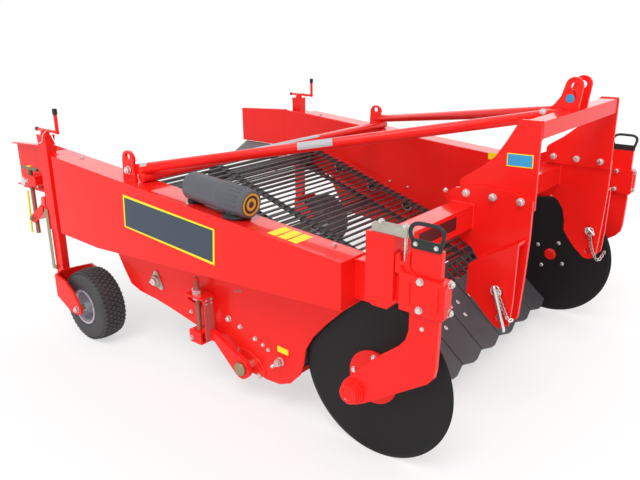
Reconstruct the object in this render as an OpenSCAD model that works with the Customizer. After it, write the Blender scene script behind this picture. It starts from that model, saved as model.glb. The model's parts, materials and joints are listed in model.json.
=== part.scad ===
// Tractor-mounted two-row potato digger with a rod web, side discs and two rear wheels.
// Millimetres. +X is forward (hitch end), +Y is the machine's left, +Z is up.
// Side views are drawn with X measured from the disc line; x_mid moves them to the shared frame.

/* [Frame] */
// Half the clear width of the digging channel, to the outer face of the side walls
channel_half = 800; // [600:5:1000]
// Thickness of the side wall plate
wall_t = 6; // [4:1:12]
// Width of the box side beams, outwards from the side walls
beam_w = 122; // [90:2:200]
// Sheet thickness of the side beams
beam_t = 6; // [4:1:12]
// Length of the side walls behind the beams
wall_tail = 160; // [120:1:200]
// Length of the rear wings behind the side walls
wing_len = 381; // [250:1:600]
// Width of the square lower cross beam
cross_w = 83; // [60:1:120]

/* [Headstock] */
// Inner face of the lower post plates
post_in = 394; // [300:2:460]
// Thickness of the lower post plates
post_t = 15; // [10:1:25]
// Gap between a post plate and its hitch cheek
clevis_gap = 55; // [45:1:70]
// Radius of the lower hitch holes
lower_pin_r = 14.5; // [11:0.5:19]
// Radius of the top link hole
top_pin_r = 13; // [10:0.5:17]

/* [Discs] */
// Radius of the side discs
disc_r = 299; // [220:2:360]
// Thickness of the side discs
disc_t = 8; // [4:1:14]
// From the inner face of the side walls to the middle plane of the discs
disc_in = 15; // [10:1:90]

/* [Web] */
// Distance between web rods along the loop
rod_pitch = 40; // [35:1:70]
// Radius of a web rod
rod_r = 5.5; // [4:0.5:8]
// Radius of the rod path round the end shafts
path_r = 64; // [45:1:90]
// Clearance between the web rods and the side walls
web_gap = 14; // [8:1:40]
// Width of a web belt
belt_w = 40; // [25:1:60]

/* [Shares] */
// Number of share blades
blade_n = 8; // [5:1:10]
// Distance between share blades
blade_pitch = 173; // [120:1:200]
// Slope of the share blades
blade_slope = 40; // [15:1:50]

/* [Wheels] */
// Tyre outside radius
tyre_r = 171; // [140:1:200]
// Tyre width
tyre_w = 124; // [100:1:160]
// Middle plane of the wheels, outwards from the side walls
wheel_off = 60; // [50:1:80]

/* [Hidden] */
wall_in = channel_half - wall_t;
beam_out = channel_half + beam_w;
disc_y = wall_in - disc_in;
wheel_y = channel_half + wheel_off;
fit = 0.3;
flange_w = 32;
leg_mid = channel_half + 79.5;
leg_half = 17.5;
sleeve_half = 23.5;
crank_y = leg_mid + 0.5;
lug_in = channel_half + 66;
lug_t = 12;
lug_eye = [-1258, 925];
cross_at = [-1194, 846.1];
bar_r = 21;
upright_in = channel_half + 38;
upright_w = 77;
clamp_in = channel_half + 68;
clamp_t = 50;
arm_in = channel_half + 86;
arm_t = 18;
spindle_r = 17;
screw_y = channel_half + 40;
flap_screw_y = channel_half + 70;
tube_y = channel_half + beam_w / 2;
head_t = 12;
head_in = post_in - head_t;
disc_x = -106;
disc_z = disc_r;
yoke_in = -1834;
tyre_gap = 8;
wheel_x = yoke_in + tyre_gap + tyre_r;
wheel_z = tyre_r;
nose = [-500, 244];
rear = [-1700, 617];
web_half = wall_in - web_gap;
belt_y = [20 - web_half, -belt_w / 2, web_half - 20 - belt_w];
belt_t = 9;
wheel_fork = [wheel_y - 101, wheel_y + 87];
drive = [-188, 660];
post_out = post_in + post_t;
cheek_in = post_out + clevis_gap;
cheek_t = 12;
cheek_out = cheek_in + cheek_t;
hitch_hole = [188, 487];
spare_hole = [180, 583];
top_hole = [206, 1220];
beam_side = [[-1769, 510], [-1480, 500], [-143, 579], [-143, 741], [-1769, 871]];
beam_void = [[-1763, 516], [-1480, 506], [-149, 584.6], [-149, 735.4], [-1763, 864.4]];
wall_end = beam_side[0][0] - wall_tail;
wing_end = wall_end - wing_len;
front_end = 240;
x_mid = -(wing_end + front_end) / 2;
$fn = 48;

// Points on an arc, from angle a to angle b
function arc(c, r, a, b, n = 8) =
    [for (i = [0:n]) [c[0] + r * cos(a + (b - a) * i / n), c[1] + r * sin(a + (b - a) * i / n)]];

// Straight ring of points round two equal circles, for a belt loop
function loop_side(p, q, r, n = 16) =
    let (turn = atan2(q[1] - p[1], q[0] - p[0]))
    concat(arc(q, r, turn - 90, turn + 90, n), arc(p, r, turn + 90, turn + 270, n));

// A plate drawn in side view, from y0 to y0 + t
module plate(points, y0, t) {
    translate([0, y0 + t, 0]) rotate([90, 0, 0]) linear_extrude(t) polygon(points);
}

// A box between two corners
module block(x0, x1, y0, y1, z0, z1) {
    translate([x0, y0, z0]) cube([x1 - x0, y1 - y0, z1 - z0]);
}

// A round bar across the machine at a side-view point
module cross_pin(at, r, y0, y1) {
    translate([at[0], y1, at[1]]) rotate([90, 0, 0]) cylinder(r = r, h = y1 - y0);
}

// A round bar between two points
module bar(a, b, r) {
    d = b - a;
    flat_run = sqrt(d[0] * d[0] + d[1] * d[1]);
    translate(a) rotate([0, atan2(flat_run, d[2]), atan2(d[1], d[0])]) cylinder(r = r, h = norm(d));
}

// Moves a side drawn at +Y into the shared frame
module left_side() {
    translate([x_mid, 0, 0]) children();
}

module right_side() {
    translate([x_mid, 0, 0]) mirror([0, 1, 0]) children();
}

// Box side beam, an open pan that the side wall closes
module beam_shape() {
    color([0.80, 0.05, 0.04]) difference() {
        plate(beam_side, channel_half, beam_out - channel_half);
        plate(beam_void, channel_half - 1, beam_out - channel_half - beam_t + 1);
    }
}

// Side wall of the channel, with the apron below the beam
module wall_shape() {
    color([0.80, 0.05, 0.04])
        plate(concat(
            [[wall_end, 881], [-143, 741], [-143, 579], [-227, 511], [-300, 440], [-360, 372]],
            [[-396, 310], [-407, 244], [-425, 196], [-474, 143], [-530, 119], [-603, 115]],
            [[-1002, 230], [-1169, 262], [-1261, 276], [-1370, 285], [-1437, 307]],
            [[-1475, 363], [-1521, 441], [-1545, 505], [-1769, 590], [wall_end, 645]]),
            wall_in, wall_t);
}

// Rear wing plate with a flange along its top and bottom
module wing_shape() {
    color([0.80, 0.05, 0.04]) union() {
        plate([[wing_end, 645], [wall_end, 645], [wall_end, 881], [wing_end, 861]], wall_in, wall_t);
        plate([[wing_end, 855], [wall_end, 875], [wall_end, 881], [wing_end, 861]], wall_in, flange_w);
        plate([[wing_end, 645], [wall_end, 645], [wall_end, 651], [wing_end, 651]], wall_in, flange_w);
    }
}

// Sleeve that guides the wheel leg, with the lifting crank on its cap
module sleeve_shape() {
    color([0.80, 0.05, 0.04]) union() {
        difference() {
            block(-1906, -1836, leg_mid - sleeve_half, leg_mid + sleeve_half, 500, 950);
            block(-1900 - fit, -1842 + fit, leg_mid - leg_half - fit, leg_mid + leg_half + fit, 499, 944);
        }
        plate([[-1836.5, 560], [-1769, 560], [-1769, 871], [-1836.5, 876]], channel_half, crank_y - channel_half);
        translate([-1871, crank_y, 949]) cylinder(r = 17, h = 24);
        translate([-1939, crank_y, 972]) rotate([0, 90, 0]) cylinder(r = 7.5, h = 175);
        translate([-1764, crank_y, 972]) sphere(r = 9.5);
        translate([-1764, crank_y, 972]) cylinder(r = 8, h = 94);
    }
}

// Inner leg with the wheel fork and its axle
module leg_shape() {
    arm = concat([[-1814, 306], [wheel_x - 82, wheel_z + 120], [wheel_x - 21, wheel_z + 79]],
                 arc([wheel_x, wheel_z], 30, 40, -105), [[wheel_x - 57, wheel_z - 29], [-1814, 196]]);
    leg_in = leg_mid - leg_half;
    leg_out = leg_mid + leg_half;
    inner = wheel_fork[0];
    outer = wheel_fork[1];
    yoke = concat([[-1842, leg_in - 12], [-1842, leg_out + 12], [-1818, outer + 10], [-1806, outer + 10]],
                  [[-1806, outer], [-1812, outer], [yoke_in, leg_out + 8], [yoke_in, leg_in - 9]],
                  [[-1812, inner + 10], [-1806, inner + 10], [-1806, inner], [-1818, inner]]);
    color([0.80, 0.05, 0.04]) union() {
        block(-1900, -1842, leg_in, leg_out, 260, 810);
        block(-1870, -1841, leg_in, leg_out, 196, 261);
        translate([0, 0, 196]) linear_extrude(110) polygon(yoke);
        for (y = wheel_fork) plate(arm, y, 10);
        cross_pin([wheel_x, wheel_z], 9, inner - 10, outer + 22);
    }
}

// Pneumatic tyre as a plain ring with rounded shoulders
module tyre_shape() {
    half = tyre_w / 2;
    color([0.05, 0.05, 0.05]) translate([wheel_x, wheel_y, wheel_z]) rotate([90, 0, 0]) rotate_extrude($fn = 64)
        polygon(concat(
            [[77, 11 - half], [94, 2 - half], [112, -half], [138, -half]],
            [[156, 6 - half], [166, 20 - half], [tyre_r, 40 - half], [tyre_r, half - 40], [166, half - 20], [156, half - 6]],
            [[138, half], [112, half], [94, half - 2], [77, half - 11]]));
}

// Wheel rim with a web plate and hub
module rim_shape() {
    color([0.75, 0.76, 0.78]) translate([wheel_x, wheel_y, wheel_z]) rotate([90, 0, 0]) rotate_extrude($fn = 64)
        polygon([[9.05, -60], [20, -60], [20, -6], [69, -6], [69, -50], [76, -62], [83, -62], [83, -57], [76.7, -52],
                 [76.7, 52], [83, 57], [83, 62], [76, 62], [69, 50], [69, 6], [20, 6], [20, 60], [9.05, 60]]);
}

// Rear flap under the wing with its arm, screw and bracket, drawn from the wall's end
module flap_shape() {
    color([0.80, 0.05, 0.04]) translate([wall_end, 0, 0]) union() {
        translate([20 - wing_len, 0, 0]) rotate([90, 0, 90]) linear_extrude(wing_len - 51)
            polygon([[channel_half + 8, 640], [channel_half - 110, 584], [channel_half - 110, 575],
                     [channel_half + 8, 630]]);
        plate([[-181, 690], [-61, 700], [-61, 740], [-181, 730]], channel_half + fit, 91);
        plate([[-169, 508], [-136, 508], [-31, 580], [-31, 638], [-61, 638], [-67, 604]], channel_half + 6, 74);
        bar([-151, flap_screw_y, 440], [-151, flap_screw_y, 775], 10);
        bar([-216, flap_screw_y, 765], [-81, flap_screw_y, 765], 8);
    }
}

// Slanting stay from the beam lug to the mast
module stay_shape() {
    color([0.80, 0.05, 0.04]) difference() {
        bar([-1268, lug_in + 24, 868], [168, 44, 1123], bar_r);
        block(-1400, -1100, lug_in - fit, lug_in + 140, 700, 1000);
        cross_pin(cross_at, bar_r + fit, lug_in - 166, lug_in + 34);
        block(60, 260, -10, 50.3, 1000, 1300);
    }
}

// Upper headstock plate, bolted inside the lower plate
module head_shape() {
    color([0.80, 0.05, 0.04])
        plate([[-31, 850], [front_end, 852], [front_end - 2, 1136], [232, 1143], [172, 1143], [165, 1138],
               [153, 1117], [126, 1069], [91, 1015], [40, 970], [-24, 926], [-31, 915]], head_in, head_t);
}

// Lower headstock plate with the hitch cheek that makes the clevis
module post_shape() {
    color([0.80, 0.05, 0.04]) difference() {
        union() {
            plate(concat(
                [[-97, 866], [-70, 850], [-62, 760], [-40, 741], [-8, 716], [38, 688], [63, 650], [74, 604]],
                [[76, 560], [97, 530], [128, 492]],
                arc(hitch_hole, 36, 215, 345),
                [[232, 614], [238, 760], [238, 886], [170, 906], [100, 913], [30, 909], [-40, 892]]),
                post_in, post_t);
            plate(concat(
                [[62, 654], [60, 551], [97, 526], [128, 492]],
                arc(hitch_hole, 36, 215, 345),
                [[228, 560], [230, 760]]), cheek_in, cheek_t);
            plate([[62, 644], [230, 750], [230, 762], [62, 656]], post_out - 1, clevis_gap + 2);
        }
        cross_pin(hitch_hole, lower_pin_r, post_in - 1, cheek_out + 1);
        cross_pin(spare_hole, lower_pin_r, post_in - 1, cheek_out + 1);
        block(-50.3, -49.7 + cross_w, post_in - 1, post_out + 1, 759.7, 842.3);
    }
}

// Upright at the end of the lower cross beam, tied back to the side beam
module disc_post_shape() {
    color([0.80, 0.05, 0.04]) union() {
        plate([[-57, 646], [-30, 630], [22, 630], [42, 650], [42, 862], [-57, 862]], upright_in, upright_w);
        block(-143, -57, channel_half + 6, upright_in + 12, 600, 735);
    }
}

// Clamp that slides on the upright and grips the disc arm
module clamp_shape() {
    color([0.80, 0.05, 0.04]) difference() {
        plate([[42, 660], [60, 645], [205, 640], [210, 646], [210, 752], [205, 756], [80, 762], [60, 790], [42, 790]],
              clamp_in, clamp_t);
        block(95 - fit, 193 + fit, arm_in, arm_in + arm_t, 600, 800);
        block(30, 66, clamp_in + 30, clamp_in + clamp_t + 12, 600, 800);
    }
}

// Flat arm with the disc spindle
module arm_shape() {
    color([0.80, 0.05, 0.04]) union() {
        plate(concat(
            [[95, 580], [95, 843], [193, 843], [193, 600], [190, 480], [184, 448], [165, 424], [-60, 272]],
            arc([disc_x, disc_z], 46, -55, -225, 10),
            [[-22, 450], [60, 515], [85, 545]]), arm_in, arm_t);
        cross_pin([disc_x, disc_z], spindle_r, channel_half, arm_in + 14);
        cross_pin([disc_x, disc_z], 32, arm_in + 14, arm_in + 40);
    }
}

// Flat disc with a ground edge
module disc_shape() {
    half = disc_t / 2;
    color([0.03, 0.03, 0.03]) translate([disc_x, disc_y, disc_z]) rotate([90, 0, 0]) rotate_extrude($fn = 96)
        polygon([[30, -half], [disc_r - 14, -half], [disc_r, -1], [disc_r, 1], [disc_r - 14, half], [30, half]]);
}

// Hub that carries the disc on the spindle
module hub_shape() {
    face = disc_y + disc_t / 2;
    color([0.80, 0.05, 0.04]) translate([disc_x, 0, disc_z]) rotate([-90, 0, 0]) rotate_extrude($fn = 64)
        polygon([[0, face - 18], [22, face - 18], [30, face - 8], [30, face], [96, face], [96, face + 9],
                 [42, face + 13], [42, arm_in - 7], [spindle_r + 0.05, arm_in - 7],
                 [spindle_r + 0.05, channel_half - 4], [0, channel_half - 4]]);
}

// Screw and arm that set the share angle
module adjuster_shape() {
    color([0.80, 0.05, 0.04]) union() {
        block(-968, -862, channel_half, screw_y + 32, 396, 406);
        for (x = [-966, -872]) translate([x, 0, 0]) rotate([90, 0, 90]) linear_extrude(8)
            polygon([[channel_half, 398], [screw_y + 26, 398], [screw_y + 26, 380], [channel_half, 320]]);
        bar([-930, screw_y, 200], [-930, screw_y, 470], 10);
        for (z = [382, 405]) translate([-930, screw_y, z]) cylinder(r = 18, h = 15, $fn = 6);
        block(-962, -892, screw_y - 28, screw_y + 28, 196, 204);
        for (y = [screw_y - 28, screw_y + 20]) block(-962, -892, y, y + 8, 196, 248);
        block(-962, -892, screw_y - 28, screw_y + 28, 240, 248);
        plate(concat([[-905, 212], [-905, 262], [-845, 264]], arc([-692, 150], 44, 45, -130, 8), [[-838, 222]]),
              screw_y - 14, 20);
        cross_pin([-692, 150], 21, channel_half + fit, screw_y + 10);
    }
}

// Cross bar with the lugs that hold the stays
module cross_bar() {
    lug = concat([[-1300, 833.8], [-1216, 827.1], [-1226, 905]], arc([-1258, 912], 38, 0, 180), [[-1296, 905]]);
    color([0.80, 0.05, 0.04]) translate([x_mid, 0, 0]) difference() {
        union() {
            for (y = [-lug_in - lug_t, lug_in]) plate(lug, y, lug_t);
            bar([cross_at[0], fit - lug_in, cross_at[1]], [cross_at[0], lug_in - fit, cross_at[1]], bar_r);
        }
        for (y = [-lug_in - lug_t - 2, lug_in - 2]) cross_pin(lug_eye, 14, y, y + lug_t + 4);
    }
}

// Upper square tube between the headstock plates
module top_beam() {
    color([0.80, 0.05, 0.04]) translate([x_mid, 0, 0]) difference() {
        block(180, 236, -head_in, head_in, 1083, 1139);
        block(186, 230, -head_in - 1, head_in + 1, 1089, 1133);
    }
}

// Two ears for the top link
module mast_ears() {
    ear = concat([[180, 1066], [180, 1139], [228, 1139]], arc(top_hole, 32, -20, 170), [[163, 1184], [145, 1158]],
                 [[123, 1136], [115, 1066]]);
    color([0.80, 0.05, 0.04]) translate([x_mid, 0, 0]) difference() {
        for (y = [-50, 38]) plate(ear, y, 12);
        cross_pin(top_hole, top_pin_r, -60, 60);
    }
}

// Lower square tube that carries the posts and the disc uprights
module lower_cross_beam() {
    color([0.80, 0.05, 0.04]) translate([x_mid, 0, 0]) difference() {
        block(-50, -50 + cross_w, -upright_in, upright_in, 760, 842);
        block(-44, -56 + cross_w, -upright_in - 1, upright_in + 1, 766, 836);
    }
}

// Bar and brackets that carry the share blades
module share_beam() {
    color([0.80, 0.05, 0.04]) translate([x_mid, 0, 0]) union() {
        block(-575, -515, -wall_in, wall_in, 122, 168);
        for (y = [-612, -226, 214, 600]) plate(
            [[-530, 160], [-530, 130], [-440, 124], [-230, 170], [-205, 180], [-330, 282], [-352, 268], [-460, 150]], y, 12);
        translate([-70, 0, 68]) rotate([0, blade_slope, 0]) {
            translate([-335, 4 - blade_n * blade_pitch / 2, -12]) cube([150, blade_n * blade_pitch - 8, 12]);
            for (i = [0:3 * blade_n - 1]) translate([-420, (i - (3 * blade_n - 1) / 2) * blade_pitch / 3 - 5, -12])
                cube([90, 10, 9]);
        }
    }
}

// Gearbox behind the headstock, with its bracket and input stub
module gearbox() {
    color([0.10, 0.10, 0.11]) translate([x_mid, 0, 0]) union() {
        block(-235, -140, -70, 70, 602, 738);
        cross_pin(drive, 58, -82, 82);
        translate([-141, 0, 660]) rotate([0, 90, 0]) cylinder(r = 48, h = 22);
        translate([-120, 0, 660]) rotate([0, 90, 0]) cylinder(r = 17.5, h = 140);
        block(-235, -50, -60, 60, 737, 749);
        block(-62, -50, -60, 60, 737, 842);
    }
}

// Cross shaft tube and the chain case along the left beam
module chain_case() {
    color([0.80, 0.05, 0.04]) translate([x_mid, 0, 0]) {
        cross_pin(drive, 28, 82, wall_in);
        plate(loop_side(drive, rear, 50), beam_out, 33);
    }
}

// Row of flat share blades
module share_blades() {
    half = (blade_pitch - 6) / 2;
    color([0.10, 0.10, 0.11]) translate([x_mid, 0, 0]) for (i = [0:blade_n - 1])
        translate([-70, (i - (blade_n - 1) / 2) * blade_pitch, 68]) rotate([0, blade_slope, 0])
            linear_extrude(10) polygon([[0, -half + 72], [0, half - 72], [-20, half], [-335, half], [-335, -half], [-20, -half]]);
}

// Rod web: three belts and the rods across them, one fixed loop
module web() {
    run = norm(rear - nose);
    whole = 2 * run + 2 * PI * path_r;
    count = round(whole / rod_pitch);
    turn = atan2(rear[1] - nose[1], rear[0] - nose[0]);
    color([0.09, 0.09, 0.10]) translate([x_mid, 0, 0]) union() {
        for (y = belt_y) difference() {
            plate(loop_side(nose, rear, path_r), y, belt_w);
            plate(loop_side(nose, rear, path_r - belt_t), y - 1, belt_w + 2);
        }
        for (i = [0:count - 1]) {
            s = i * whole / count;
            bend = PI * path_r;
            a = s < run ? 0 : s < run + bend ? (s - run) / path_r * 180 / PI : s < 2 * run + bend ? 180
                : 180 + (s - 2 * run - bend) / path_r * 180 / PI;
            along = s < run ? s : s < run + bend ? run : s < 2 * run + bend ? 2 * run + bend - s : 0;
            at = nose + along * [cos(turn), sin(turn)] + path_r * [cos(turn - 90 + a), sin(turn - 90 + a)];
            cross_pin(at, rod_r, -web_half, web_half);
        }
    }
}

// Drive shaft, nose roller and return roller of the web
module web_rollers() {
    color([0.12, 0.12, 0.13]) translate([x_mid, 0, 0]) {
        cross_pin(rear, 22, -wall_in, wall_in);
        for (y = belt_y) cross_pin(rear, path_r - belt_t - 0.5, y + 5, y + belt_w - 5);
        cross_pin(nose, 16, -wall_in, wall_in);
        for (y = belt_y) cross_pin(nose, path_r - belt_t - 0.5, y + 5, y + belt_w - 5);
        cross_pin([-1254, 372], 20, -wall_in, wall_in);
    }
}

// Tube for papers on top of the right beam
module document_tube() {
    color([0.10, 0.10, 0.11]) translate([x_mid, 0, 0]) union() {
        bar([-900, -tube_y, 861.5], [-700, -tube_y, 846], 53);
        bar([-705, -tube_y, 846.4], [-585, -tube_y, 837], 54);
        plate([[-870, 799.4], [-640, 781.1], [-640, 800], [-870, 820]], -tube_y - 19, 38);
    }
}

module side_beam_left() { left_side() beam_shape(); }
module side_beam_right() { right_side() beam_shape(); }
module side_wall_left() { left_side() wall_shape(); }
module side_wall_right() { right_side() wall_shape(); }
module rear_wing_left() { left_side() wing_shape(); }
module rear_wing_right() { right_side() wing_shape(); }
module rear_flap_left() { left_side() flap_shape(); }
module rear_flap_right() { right_side() flap_shape(); }
module leg_sleeve_left() { left_side() sleeve_shape(); }
module leg_sleeve_right() { right_side() sleeve_shape(); }
module stay_left() { left_side() stay_shape(); }
module stay_right() { right_side() stay_shape(); }
module head_plate_left() { left_side() head_shape(); }
module head_plate_right() { right_side() head_shape(); }
module post_plate_left() { left_side() post_shape(); }
module post_plate_right() { right_side() post_shape(); }
module disc_post_left() { left_side() disc_post_shape(); }
module disc_post_right() { right_side() disc_post_shape(); }
module disc_clamp_left() { left_side() clamp_shape(); }
module disc_clamp_right() { right_side() clamp_shape(); }
module disc_arm_left() { left_side() arm_shape(); }
module disc_arm_right() { right_side() arm_shape(); }
module disc_left() { left_side() disc_shape(); }
module disc_right() { right_side() disc_shape(); }
module disc_hub_left() { left_side() hub_shape(); }
module disc_hub_right() { right_side() hub_shape(); }
module adjuster_left() { left_side() adjuster_shape(); }
module adjuster_right() { right_side() adjuster_shape(); }
module leg_left() { left_side() leg_shape(); }
module leg_right() { right_side() leg_shape(); }
module tyre_left() { left_side() tyre_shape(); }
module tyre_right() { right_side() tyre_shape(); }
module rim_left() { left_side() rim_shape(); }
module rim_right() { right_side() rim_shape(); }

side_beam_left();
side_beam_right();
side_wall_left();
side_wall_right();
rear_wing_left();
rear_wing_right();
rear_flap_left();
rear_flap_right();
leg_sleeve_left();
leg_sleeve_right();
cross_bar();
stay_left();
stay_right();
top_beam();
mast_ears();
head_plate_left();
head_plate_right();
post_plate_left();
post_plate_right();
lower_cross_beam();
disc_post_left();
disc_post_right();
disc_clamp_left();
disc_clamp_right();
disc_arm_left();
disc_arm_right();
disc_left();
disc_right();
disc_hub_left();
disc_hub_right();
share_beam();
share_blades();
web();
web_rollers();
adjuster_left();
adjuster_right();
document_tube();
gearbox();
chain_case();
leg_left();
leg_right();
tyre_left();
tyre_right();
rim_left();
rim_right();
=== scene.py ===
"""Dresses the potato digger: paint, rubber, steel, fasteners and the studio."""

import json
import math

import bmesh
import bpy
from mathutils import Matrix, Vector


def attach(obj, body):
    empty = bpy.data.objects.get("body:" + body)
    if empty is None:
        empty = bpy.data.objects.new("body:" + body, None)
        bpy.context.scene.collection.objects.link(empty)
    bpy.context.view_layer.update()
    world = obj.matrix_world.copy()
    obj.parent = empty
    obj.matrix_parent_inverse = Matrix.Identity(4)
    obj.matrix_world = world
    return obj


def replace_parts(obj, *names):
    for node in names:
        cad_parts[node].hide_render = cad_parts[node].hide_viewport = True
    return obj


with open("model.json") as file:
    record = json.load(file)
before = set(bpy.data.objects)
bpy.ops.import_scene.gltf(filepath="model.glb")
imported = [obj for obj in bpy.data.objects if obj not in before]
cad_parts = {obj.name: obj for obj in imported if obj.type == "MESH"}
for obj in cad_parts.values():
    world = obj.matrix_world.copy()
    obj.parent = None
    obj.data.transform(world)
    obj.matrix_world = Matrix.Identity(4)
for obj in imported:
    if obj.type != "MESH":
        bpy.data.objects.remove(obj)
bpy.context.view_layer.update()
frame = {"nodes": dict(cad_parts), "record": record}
NODES = frame["nodes"]

# Sizes are in millimetres of the side drawing; this moves its X into the shared frame
X_SHIFT = 1035.0
SIDES = {"left": 1, "right": -1}

# Places on the machine, as in the part's source
BEAM_OUT = 922.0
WALL_OUT = 800.0
BEAM_TOP_Z = 729.6
BEAM_FALL = 0.08
WHEEL = (-1655.0, 860.0, 171.0)
DISC = (-106.0, 779.0, 299.0)
NOSE = (-500.0, 244.0)
REAR = (-1700.0, 617.0)
DRIVE = (-188.0, 660.0)
CASE_OUT = 955.0
WEB_PATH_R = 64.0
ROD_PITCH = 40.0
BELT_Y = 740.0
BELT_HALF = 20.5
BLADE_TIP = (-70.0, 68.0)
BLADE_SLOPE = math.radians(40)
BLADE_PITCH = 173.0
BLADE_COUNT = 8

UP = (0.0, 0.0, 1.0)
DOWN = (0.0, 0.0, -1.0)
AHEAD = (1.0, 0.0, 0.0)


def at(x, y, z):
    """A point of the side drawing, in the shared frame's metres."""
    return Vector(((x + X_SHIFT) / 1000, y / 1000, z / 1000))


def beam_top(x):
    """Height of the side beams' top face at a place along them."""
    return BEAM_TOP_Z - BEAM_FALL * x


def linked(name, data):
    """A new object in the scene."""
    item = bpy.data.objects.new(name, data)
    bpy.context.scene.collection.objects.link(item)
    return item


# Camera at the photograph's viewpoint
CAMERA_AT = Vector((2.064766, -2.45237, 1.46344))
CAMERA_YAW = 0.8841
CAMERA_PITCH = 0.3243
CAMERA_ROLL = -0.0067
FOCAL_PIXELS = 672.7
IMAGE_WIDTH = 640
SENSOR_MM = 36.0


def place_camera():
    """A camera that sees the machine as the photograph does."""
    data = bpy.data.cameras.new("photo_camera")
    data.sensor_width = SENSOR_MM
    data.lens = FOCAL_PIXELS / IMAGE_WIDTH * SENSOR_MM
    camera = linked("photo_camera", data)
    look = Vector((
        -math.cos(CAMERA_YAW) * math.cos(CAMERA_PITCH),
        math.sin(CAMERA_YAW) * math.cos(CAMERA_PITCH),
        -math.sin(CAMERA_PITCH),
    ))
    turn = look.to_track_quat("-Z", "Y").to_matrix().to_4x4()
    roll = Matrix.Rotation(CAMERA_ROLL, 4, "Z")
    camera.matrix_world = Matrix.Translation(CAMERA_AT) @ turn @ roll
    bpy.context.scene.camera = camera


# Shader sums
class Wire:
    """A shader socket that takes part in sums."""

    def __init__(self, finish, socket):
        self.finish = finish
        self.socket = socket

    def math(self, operation, first, second=None, clamp=False):
        return self.finish.make("Math", {"operation": operation, "use_clamp": clamp}, {0: first, 1: second})

    def __add__(self, other):
        return self.math("ADD", self, other)

    def __sub__(self, other):
        return self.math("SUBTRACT", self, other)

    def __rsub__(self, other):
        return self.math("SUBTRACT", other, self)

    def __mul__(self, other):
        return self.math("MULTIPLY", self, other)

    def __abs__(self):
        return self.math("ABSOLUTE", self)

    def __lt__(self, other):
        return self.math("LESS_THAN", self, other)

    def __gt__(self, other):
        return self.math("GREATER_THAN", self, other)

    def clip(self):
        return self.math("ADD", self, 0.0, clamp=True)


class Finish:
    """One material and the nodes that make it."""

    def __init__(self, name):
        self.material = bpy.data.materials.new(name)
        self.material.use_nodes = True
        self.tree = self.material.node_tree
        self.shader = self.tree.nodes["Principled BSDF"]

    def make(self, kind, settings=None, sockets=None, output=0):
        node = self.tree.nodes.new("ShaderNode" + kind)
        for key, value in (settings or {}).items():
            setattr(node, key, value)
        for key, value in (sockets or {}).items():
            self.plug(node.inputs[key], value)
        return Wire(self, node.outputs[output])

    def plug(self, socket, value):
        if value is None:
            return
        if isinstance(value, Wire):
            self.tree.links.new(value.socket, socket)
            return
        if socket.type == "RGBA" and len(value) == 3:
            value = (*value, 1.0)
        socket.default_value = value

    def set(self, **sockets):
        for key, value in sockets.items():
            self.plug(self.shader.inputs[key.replace("_", " ")], value)
        return self

    def place(self):
        return self.make("TexCoord", output=3)

    def axes(self):
        place = self.place()
        return [self.make("SeparateXYZ", None, {0: place}, i) for i in range(3)]

    def noise(self, scale, detail=2.0, rough=0.5):
        sockets = {"Vector": self.place(), "Scale": scale, "Detail": detail, "Roughness": rough}
        return self.make("TexNoise", None, sockets)

    def blend(self, factor, first, second):
        return self.make("Mix", {"data_type": "RGBA"}, {0: factor, 6: first, 7: second}, 2)

    def bump(self, height, distance, strength):
        return self.make("Bump", None, {"Height": height, "Distance": distance, "Strength": strength})


def tint(colour, amount):
    return tuple(min(1.0, c * amount) for c in colour)


RED = (0.90, 0.014, 0.010)
ZINC = (0.74, 0.73, 0.71)
OLIVE = (0.36, 0.33, 0.20)

# Clear coat: weight on upright faces, the painted sheen that faces looking up add to it, and where and how
# fast that grows
COAT_LEAST = 0.10
TOP_SHEEN_EXTRA = 0.90
TOP_SHEEN_FROM = 0.55
TOP_SHEEN_GROWTH = 3.0


def painted_top_sheen_coat(finish):
    """Weight of the clear coat: thin on upright faces and full on faces that look up, as a painted sheen on
    the tops.
    """
    normal = finish.make("NewGeometry", output=1)
    upward = finish.make("SeparateXYZ", None, {0: normal}, 2)
    return ((upward - TOP_SHEEN_FROM) * TOP_SHEEN_GROWTH).clip() * TOP_SHEEN_EXTRA + COAT_LEAST


def gloss_paint(name, colour, rough=0.30):
    """Sprayed gloss paint with cloudy tone, orange peel, a little dust low down, and a painted sheen on
    faces that look up.
    """
    finish = Finish(name)
    cloud = finish.noise(3.2, 4.0)
    peel = finish.noise(260.0, 1.0)
    height = finish.axes()[2]
    dust = ((0.26 - height) * 2.2).clip() * finish.noise(22.0, 5.0, 0.65) * 0.22
    paint = finish.blend(cloud, tint(colour, 0.93), tint(colour, 1.06))
    finish.set(Base_Color=finish.blend(dust, paint, (0.30, 0.21, 0.15)))
    finish.set(Roughness=cloud * 0.10 + (rough - 0.05) + dust * 0.5, Normal=finish.bump(peel, 0.00012, 0.35))
    # Coat weight rises on faces that look up: a painted sheen on the tops
    finish.set(Coat_Weight=painted_top_sheen_coat(finish), Coat_Roughness=0.07, Coat_IOR=1.62, Specular_IOR_Level=0.16)
    return finish


def plated(name, colour, rough=0.26, metal=0.92):
    """Zinc plating: small mottled grains and soft smears."""
    finish = Finish(name)
    grain = finish.noise(420.0, 2.0)
    smear = finish.noise(38.0, 3.0)
    finish.set(Base_Color=finish.blend(smear, tint(colour, 0.80), tint(colour, 1.12)))
    finish.set(Roughness=smear * 0.20 + (rough - 0.08), Metallic=metal)
    finish.set(Normal=finish.bump(grain, 0.00008, 0.4))
    return finish


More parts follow.
